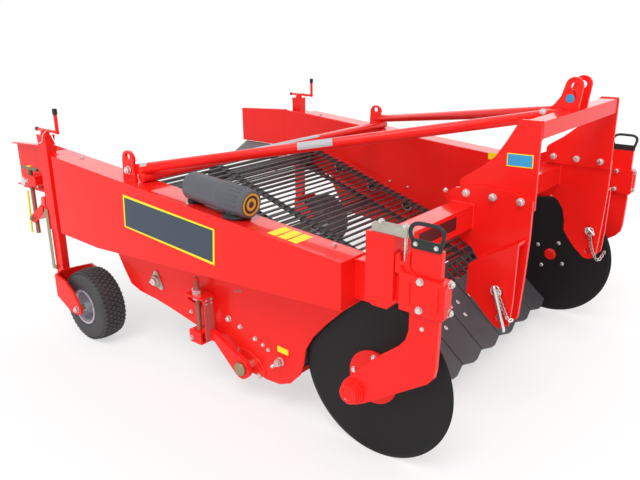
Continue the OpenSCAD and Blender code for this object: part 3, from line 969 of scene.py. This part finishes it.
def leg_sleeve_fittings(side, k):
    """Collar, crank ends and wire clip of a leg sleeve, and the leg's scale, spacers and axle nuts."""
    collar = Sheet(f"sleeve_cap_{side}", "red", bevel=1.5)
    collar.slab(-1908, -1834, k * 854, k * 905, 943, 952)
    collar.lathe([(0, 21), (3, 20.4), (12, 18), (21, 17.6), (24, 13)], (-1871, k * 880, 951), UP, 28)
    collar.finish()
    ends = Sheet(f"crank_ends_{side}", "black")
    ends.lathe([(0, 0), (0, 7), (2, 9.2), (12, 9.2), (13, 7.4)], (-1942, k * 880, 972), AHEAD, 20)
    grip = [(0, 8), (1, 10.4), (6, 11), (9, 10.4), (12, 11), (15, 10.4), (18, 11), (23, 10.6), (26, 9),
            (27, 0)]
    ends.lathe(grip, (-1764, k * 880, 1050), UP, 24).finish()
    wire = Sheet(f"leg_clip_{side}", "zinc")
    for points in (
        [(-1838, 880, 984), (-1818, 884, 974), (-1800, 888, 950), (-1780, 890, 932), (-1776, 891, 920),
         (-1786, 891, 914)],
        [(-1838, 884, 976), (-1842, 908, 956), (-1850, 909, 930), (-1868, 909, 918), (-1902, 909, 914)],
    ):
        wire.tube(smooth_path(sided(k, points)), 1.9, 8)
    wire.finish()
    strip = Sheet(f"leg_scale_{side}", "olive", f"leg_unit_{side}", bevel=0.5)
    strip.slab(-1919, -1895, k * 905, k * 908, 300, 600)
    strip.slab(-1912, -1886, k * 896.5, k * 907, 300, 316)
    for y in (920.4, 769.4):
        strip.lathe([(0, 9.5), (0, 12.5), (1, 13.5), (25, 13.5), (26, 12.5), (26, 9.5)],
                    (WHEEL[0], k * y, WHEEL[2]), out(k), 24, closed=True)
    strip.finish()
    for y, way in ((957, 1), (759, -1)):
        bolt((WHEEL[0], k * y, WHEEL[2]), out(k * way), 14, f"leg_unit_{side}")


def flap_screw(side, k):
    """Spindle, trunnion, yellow tab and rod, and bracket ears of a rear flap."""
    screw = Sheet(f"flap_screw_{side}", "spindle")
    screw.thread((-2080, k * 870, 438), (-2080, k * 870, 690), 10.9)
    screw.lathe([(0, 11.2), (60, 11.2), (62, 9)], (-2080, k * 870, 700), UP, 20)
    screw.lathe([(0, 0), (0, 8), (1, 9), (139, 9), (140, 8), (140, 0)], (-2148, k * 870, 765), AHEAD, 16)
    screw.finish()
    block = Sheet(f"flap_trunnion_{side}", "zinc", bevel=2.0)
    block.slab(-2122, -2090, k * 872, k * 900, 684, 722).finish()
    tab = Sheet(f"flap_tab_{side}", "yellow", bevel=0.5)
    tab.slab(-2094, -2068, k * 862, k * 878, 774, 777)
    tab.lathe([(0, 4.6), (2, 5), (214, 5), (216, 4.6)], (-2117, k * 884, 436), (0.07, 0, 1), 12).finish()
    ears = Sheet(f"flap_ears_{side}", "red", bevel=1.5)
    upper = [(-2104, 690), (-2000, 686), (-1992, 700), (-1992, 738), (-2040, 742), (-2092, 728),
             (-2106, 712)]
    ears.prism(upper, k * 891.5, k * 897)
    lower = [(-2108, 500), (-2086, 492), (-2064, 500), (-1985, 560), (-1975, 590), (-2000, 596),
             (-2094, 532), (-2108, 518)]
    ears.prism(lower, k * 880.5, k * 886).finish()
    bolt((-2066, k * 897, 711), out(k), 9)
    bolt((-2087, k * 886, 516), out(k), 12, paint="olive")


def adjuster_fittings(side, k):
    """Screw, nuts, hanging scale, pad, bush and bolts of the share-angle adjuster."""
    screw = Sheet(f"adjuster_screw_{side}", "spindle")
    screw.thread((-930, k * 840, 202), (-930, k * 840, 466), 10.9)
    screw.lathe([(0, 9), (3, 9), (12, 5), (14, 0)], (-930, k * 840, 464), UP, 16).finish()
    bolt((-930, k * 840, 405.5), UP, 19.5)
    bolt((-930, k * 840, 396.5), DOWN, 19)
    scale = Sheet(f"adjuster_scale_{side}", "rose", bevel=0.5)
    scale.slab(-863.7, -861, k * 820, k * 866, 218, 404).finish()
    for y in (830, 854):
        for z in (380, 396):
            bolt((-861, k * y, z), AHEAD, 4.5)
    bolt((-948, k * 868, 214), out(k), 10)
    bolt((-1002, k * WALL_OUT, 392), out(k), 5)
    pad = Sheet(f"bush_pad_{side}", "red", bevel=2.0)
    pad.prism([(-740, 210), (-680, 211), (-636, 189), (-597, 152), (-606, 124), (-640, 118), (-690, 120),
               (-760, 180)], k * WALL_OUT, k * (WALL_OUT + 4)).finish()
    bush = Sheet(f"adjuster_bush_{side}", "olive", bevel=0.8)
    bush.lathe([(0, 22), (2, 28), (9, 28), (11, 26.5), (11, 0)], (-692, k * 845, 150), out(k), 32).finish()


def wall_fittings(side, k):
    """Shaft flange, tension stud and pivot boss on a channel wall."""
    face = k * (WALL_OUT + 5)
    plate = Sheet(f"shaft_flange_{side}", "dull", bevel=1.5)
    corners = [(-1242, 418), (-1288, 352), (-1200, 338)]
    centre = (-1241, 369)
    outline = []
    corner_r = 11
    for x, z in corners:
        way = math.atan2(z - centre[1], x - centre[0])
        for step in range(-2, 3):
            t = way + step * 0.45
            outline.append((x + corner_r * math.cos(t) - corner_r * math.cos(way),
                            z + corner_r * math.sin(t) - corner_r * math.sin(way)))
    plate.prism(outline, k * WALL_OUT, face)
    plate.lathe([(0, 27), (6, 26), (12, 22), (13, 17)], (-1241, k * (WALL_OUT + 4), 369), out(k), 28)
    plate.finish()
    end = Sheet(f"shaft_end_{side}", "zinc", bevel=0.8)
    end.lathe([(0, 16), (20, 16), (22, 14), (22, 5), (18, 4), (18, 0)], (-1241, face, 369), out(k), 24)
    end.finish()
    inset = 0.82
    for x, z in corners:
        bolt((centre[0] + (x - centre[0]) * inset, face, centre[1] + (z - centre[1]) * inset), out(k), 6.5)
    stud = Sheet(f"tension_stud_{side}", "zinc")
    stud.thread((-521, k * WALL_OUT, 221), (-521, k * 852, 221), 7.5).finish()
    bolt((-521, k * WALL_OUT, 221), out(k), 15)
    bolt((-521, k * 816, 221), out(k), 13)
    boss = Sheet(f"pivot_boss_{side}", "zinc", bevel=1.0)
    boss.lathe([(0, 17), (24, 17), (26, 15), (26, 0)], (-672, k * WALL_OUT, 163), out(k), 24).finish()


def weld_bead(sheet, points, radius):
    """A rippled bead of weld along a line."""
    path = []
    for a, b in zip(points, points[1:]):
        a = Vector(a)
        b = Vector(b)
        steps = max(2, int((b - a).length / 5))
        path += [a + (b - a) * i / steps for i in range(steps)]
    path.append(Vector(points[-1]))
    sheet.tube(path, lambda i: radius * (1.0 + 0.13 * math.sin(i * 2.1)), 8)


def welds(side, k):
    """Weld beads on the headstock, the disc carriers and the stay lugs."""
    beads = Sheet(f"weld_beads_{side}", "red")
    lug = beam_top(-1298) + 1
    runs = [(4.0, [(-51, y, 759), (-51, y, 843), (34, y, 843), (34, y, 759), (-51, y, 759)])
            for y in (409.5, 393.5)]
    runs += [
        (3.2, [(179, 381, 1082), (179, 381, 1140), (237, 381, 1140), (237, 381, 1082)]),
        (3.4, [(66, 410, 660), (226, 410, 762)]),
        (3.4, [(66, 463, 648), (226, 463, 750)]),
        (3.2, [(-57, 838, 846), (42, 838, 846)]),
        (3.2, [(-143, 851, 733), (-58, 851, 733)]),
        (3.2, [(-1298, 879, lug), (-1218, 879, beam_top(-1218) + 1)]),
        (3.0, [(180, 51, 1141), (226, 51, 1141)]),
    ]
    for radius, points in runs:
        weld_bead(beads, sided(k, points), radius)
    beads.finish()


def bar_films():
    """Blank silver films on the right stay and on the cross bar."""
    low = (-1268, -890, 868)
    high = (168, -44, 1123)
    film = Sheet("stay_film", "pale")
    film.wrap(low, high, 21, (723, 859), (15, 105))
    film.wrap(low, high, 21, (76, 104), (0, 60))
    film.wrap((-1194, -865, 846.1), (-1194, 865, 846.1), 21, (643, 1107), (-35, 55))
    film.finish()


def web_spots():
    """Places of the rods round the web's loop, with the way out of the loop."""
    a = Vector((NOSE[0], 0, NOSE[1]))
    b = Vector((REAR[0], 0, REAR[1]))
    run = (b - a).length
    bend = math.pi * WEB_PATH_R
    whole = 2 * run + 2 * bend
    count = round(whole / ROD_PITCH)
    heading = math.atan2(b.z - a.z, b.x - a.x)
    for i in range(count):
        s = i * whole / count
        if s < run:
            turn, along = 0.0, s
        elif s < run + bend:
            turn, along = (s - run) / WEB_PATH_R, run
        elif s < 2 * run + bend:
            turn, along = math.pi, 2 * run + bend - s
        else:
            turn, along = math.pi + (s - 2 * run - bend) / WEB_PATH_R, 0.0
        way = Vector((math.cos(heading - math.pi / 2 + turn), 0, math.sin(heading - math.pi / 2 + turn)))
        yield a + (b - a) / run * along + way * WEB_PATH_R, way


def web_clips():
    """Clips that hold the rods on the three belts."""
    spots = []
    for p, way in web_spots():
        for y in (-BELT_Y, 0, BELT_Y):
            spots.append(((p.x, y, p.z), -way, 30))
    grow("rod_clips", clip_tree("black"), spots, "black")


def web_support_rollers():
    """Small rollers on the walls that carry the web's upper run."""
    slope = (REAR[1] - NOSE[1]) / (REAR[0] - NOSE[0])
    lift = WEB_PATH_R / math.cos(math.atan(slope))
    rims = Sheet("web_support_rollers", "silver", bevel=0.8)
    hubs = Sheet("web_support_hubs", "black", bevel=0.6)
    rim = [(0, 14), (0, 30), (2, 32), (20, 32), (22, 30), (22, 14)]
    for x in (-1455, -1208, -960, -712):
        z = NOSE[1] + (x - NOSE[0]) * slope + lift - 9 - 33
        for k in SIDES.values():
            rims.lathe(rim, (x, k * 766, z), out(k), 32)
            hubs.lathe([(0, 0), (0, 22), (2, 26), (24, 26), (29, 10)], (x, k * 764, z), out(k), 24)
    rims.finish()
    hubs.finish()


def tyre(side, k, tree):
    """Tyre carcass with its tread blocks, in place of the plain ring."""
    body = f"wheel_{side}"
    carcass = Sheet(f"tyre_body_{side}", "rubber", body, smooth=50.0)
    profile = [(77, -54), (86, -59), (92, -60.5), (95, -59.5), (98, -60.5), (112, -62), (128, -62),
               (131, -61), (134, -62), (142, -61), (151, -57.5), (157, -50), (161.5, -40), (164.5, -24),
               (165.2, 0)]
    profile += [(r, -w) for r, w in reversed(profile[:-1])]
    centre = (WHEEL[0], k * WHEEL[1], WHEEL[2])
    carcass.lathe([(w, r) for r, w in profile], centre, (0, 1, 0), 96, closed=True)
    shell = carcass.finish()
    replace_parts(shell, f"tyre_{side}")
    data = run_tree(f"tyre_tread_{side}", tree, bpy.data.meshes.new(f"tread_seed_{side}"))
    data.transform(Matrix.Translation(at(*centre)))
    dress(f"tyre_tread_{side}", data, "rubber", body, 0.0, 30.0)
    for i in range(4):
        t = math.pi / 4 + i * math.pi / 2
        p = (WHEEL[0] + 44 * math.cos(t), k * (WHEEL[1] + 6), WHEEL[2] + 44 * math.sin(t))
        bolt(p, out(k), 6.5, body)


def dress_nodes():
    """Materials and rounded edges on the solids of the frame."""
    by_slot = {"red_paint": "red", "share_steel": "share", "web_steel": "web", "disc_steel": "disc",
               "grey_plastic": "grey", "tyre": "rubber", "silver_paint": "silver"}
    special = {"gearbox": "dark", "share_beam": "carrier",
               "rear_flap_left": "flap", "rear_flap_right": "flap"}
    plain = {"web", "web_rollers", "tyre_left", "tyre_right", "rim_left", "rim_right"}
    for row in frame["record"]["subparts"]:
        name = row["node"]
        node = NODES[name]
        paint = special.get(name, by_slot[row["material_slot"]])
        node.data.materials.clear()
        node.data.materials.append(PAINT[paint].material)
        if name in plain:
            continue
        weld = node.modifiers.new("merge", "WELD")
        weld.merge_threshold = 0.00002
        round_edges(node, 1.6, 38)


# Studio
SKY_LEVEL = 0.76
SUN_LEVEL = 1.46
SUN_SPREAD = 35.0
FLOOR_LIFT = 0.58
SUN_FROM = (0.22, -0.52, 0.83)
FLOOR_HALF = 60


def studio():
    """White sky and floor, with one wide sun."""
    world = bpy.data.worlds.new("studio_sky")
    bpy.context.scene.world = world
    world.use_nodes = True
    tree = world.node_tree
    back = tree.nodes["Background"]
    back.inputs["Color"].default_value = (1, 1, 1, 1)
    path = tree.nodes.new("ShaderNodeLightPath")
    seen = path.outputs["Is Camera Ray"]
    for ray in ("Is Glossy Ray", "Is Transmission Ray"):
        either = tree.nodes.new("ShaderNodeMath")
        either.operation = "MAXIMUM"
        tree.links.new(seen, either.inputs[0])
        tree.links.new(path.outputs[ray], either.inputs[1])
        seen = either.outputs[0]
    level = tree.nodes.new("ShaderNodeMapRange")
    level.inputs["To Min"].default_value = SKY_LEVEL
    level.inputs["To Max"].default_value = 1.0
    tree.links.new(seen, level.inputs["Value"])
    tree.links.new(level.outputs[0], back.inputs["Strength"])
    mesh = bpy.data.meshes.new("floor")
    corners = [(x * FLOOR_HALF, y * FLOOR_HALF, 0) for x, y in ((-1, -1), (1, -1), (1, 1), (-1, 1))]
    mesh.from_pydata(corners, [], [(0, 1, 2, 3)])
    floor = linked("floor", mesh)
    pale = Finish("floor_white")
    pale.set(Base_Color=(0.96, 0.96, 0.96), Roughness=0.95, Specular_IOR_Level=0.0)
    seen_floor = pale.make("LightPath") * FLOOR_LIFT
    glow = pale.make("Emission", None, {"Strength": 1.0})
    both = pale.make("MixShader", None, {0: seen_floor, 1: Wire(pale, pale.shader.outputs[0]), 2: glow})
    pale.tree.links.new(both.socket, pale.tree.nodes["Material Output"].inputs["Surface"])
    mesh.materials.append(pale.material)
    data = bpy.data.lights.new("day_lamp", "SUN")
    data.energy = SUN_LEVEL
    data.angle = math.radians(SUN_SPREAD)
    lamp = linked("day_lamp", data)
    lamp.matrix_world = Vector(SUN_FROM).to_track_quat("Z", "Y").to_matrix().to_4x4()


place_camera()
studio()
bpy.context.scene.view_settings.view_transform = "Standard"
dress_nodes()
tread = tread_tree("rubber")
links = []
for side, k in SIDES.items():
    frame_bolts(k)
    disc_carrier(side, k)
    hitch_pins(side, k, links)
    leg_sleeve_fittings(side, k)
    flap_screw(side, k)
    adjuster_fittings(side, k)
    wall_fittings(side, k)
    welds(side, k)
    tyre(side, k, tread)
beam_label()
chain_case_bolts()
top_stickers()
bar_films()
document_tube()
blade_bolts()
web_clips()
web_support_rollers()
grow("hitch_chains", link_tree("zinc"), links, "zinc", smooth=60.0)
for (body, paint), spots in BOLTS.items():
    grow(f"bolts_{paint}_{body}", bolt_tree(paint), spots, paint, body)
for body, spots in DOMES.items():
    grow(f"round_heads_{body}", dome_tree("zinc"), spots, "zinc", body, smooth=60.0)
